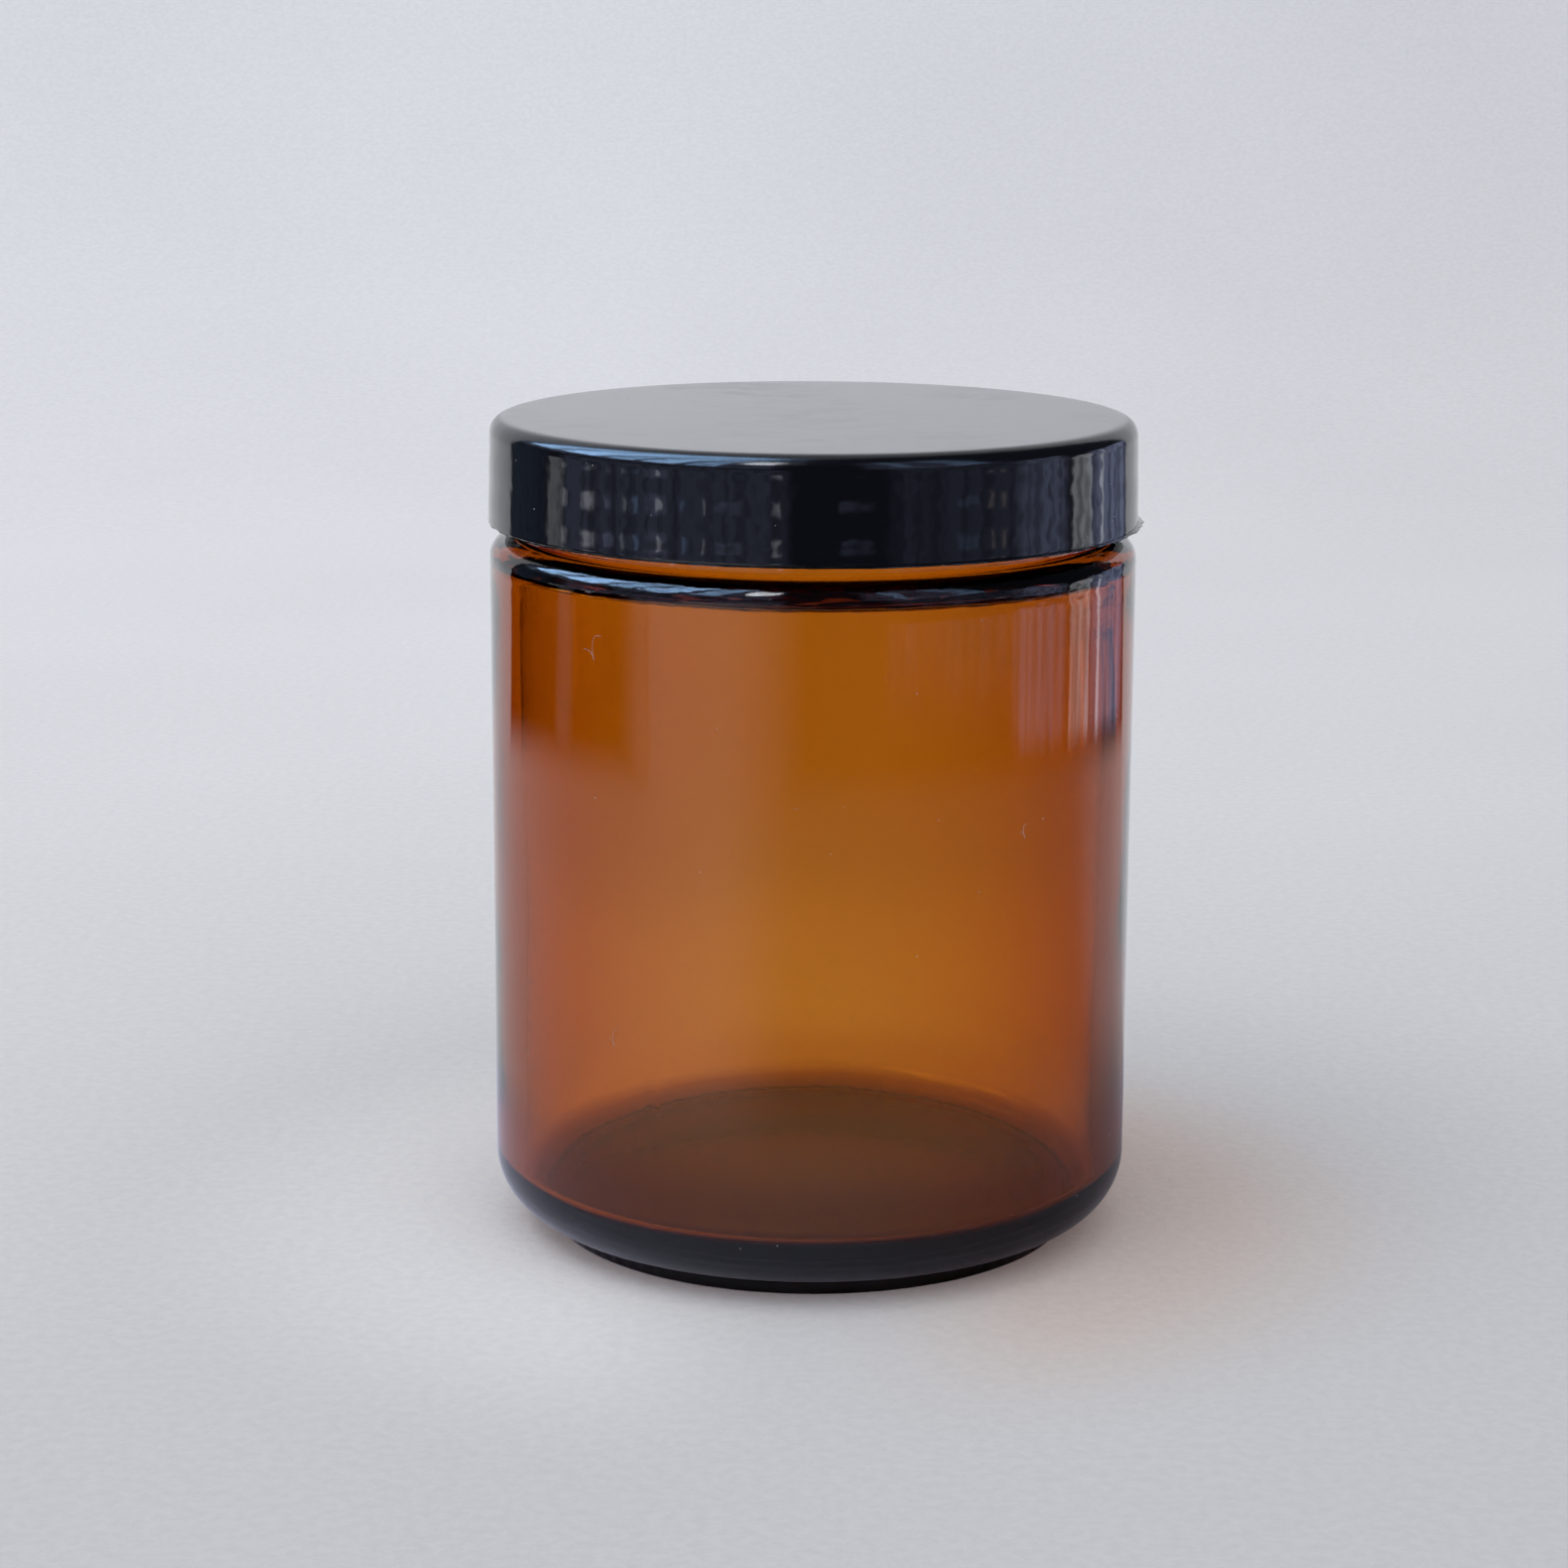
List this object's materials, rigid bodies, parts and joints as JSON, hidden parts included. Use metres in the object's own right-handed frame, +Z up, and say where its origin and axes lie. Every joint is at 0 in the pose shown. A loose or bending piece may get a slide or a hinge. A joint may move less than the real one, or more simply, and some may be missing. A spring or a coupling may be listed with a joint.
{
  "type": "cosmetic cream jar",
  "caption": "Straight-sided amber glass jar with a smooth black screw cap and a disc liner, for cream or balm.",
  "frame": {"origin": "centre of the base, on the plane the jar stands on", "axes": "+Z up along the jar's and the cap's common axis, +X to the right and +Y away when the jar is seen from the front; the jar's thread starts at +X"},
  "size_m": [0.0732, 0.0732, 0.0934],
  "materials": {
    "amber_glass": "polished",
    "black_plastic": "gloss",
    "liner_board": "matte",
    "liner_film": "satin"
  },
  "bodies": {
    "jar": {"glass_jar": "amber_glass"},
    "liner": {"liner_backing": "liner_board", "liner_facing": "liner_film"},
    "cap": {"screw_cap": "black_plastic"}
  },
  "joints": [
    {"name": "cap_lift", "type": "slide", "parent": "jar", "child": "liner", "axis": [0, 0, 1], "range_m": [0, 0.01694]},
    {"name": "cap_turn", "type": "hinge", "parent": "liner", "child": "cap", "pos_m": [0, 0, 0.0817], "axis": [0, 0, 1], "range_deg": [0, 1440]}
  ],
  "couplings": [
    {"joint": "cap_lift", "follows": "cap_turn", "m_per_rad": 0.00067375}
  ]
}
